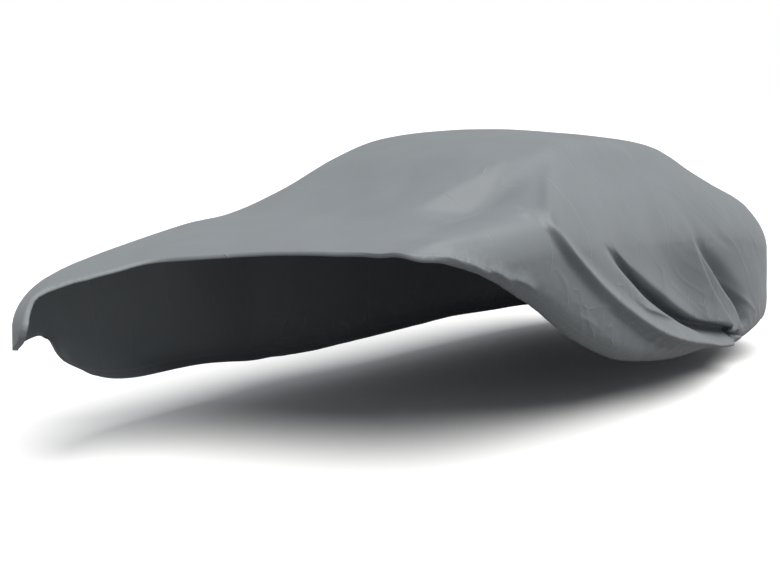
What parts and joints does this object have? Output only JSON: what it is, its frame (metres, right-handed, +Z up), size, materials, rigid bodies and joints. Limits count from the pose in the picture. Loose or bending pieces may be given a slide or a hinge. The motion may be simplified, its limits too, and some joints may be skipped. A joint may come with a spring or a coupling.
{
  "type": "fitted car cover",
  "caption": "Fitted cloth cover for a saloon, in its draped shape and drawn back from one front corner, open underneath, with soft diagonal folds on one side",
  "frame": {"origin": "on the underside of the cover's top, on its middle line, where the roof of what it covers holds it up", "axes": "+Z up, +Y towards the tail, +X towards the side that is drawn back"},
  "size_m": [2.1298, 5.0132, 1.2979],
  "materials": {
    "cloth": "matte"
  },
  "bodies": {
    "root": {"cover": "cloth"}
  },
  "joints": []
}
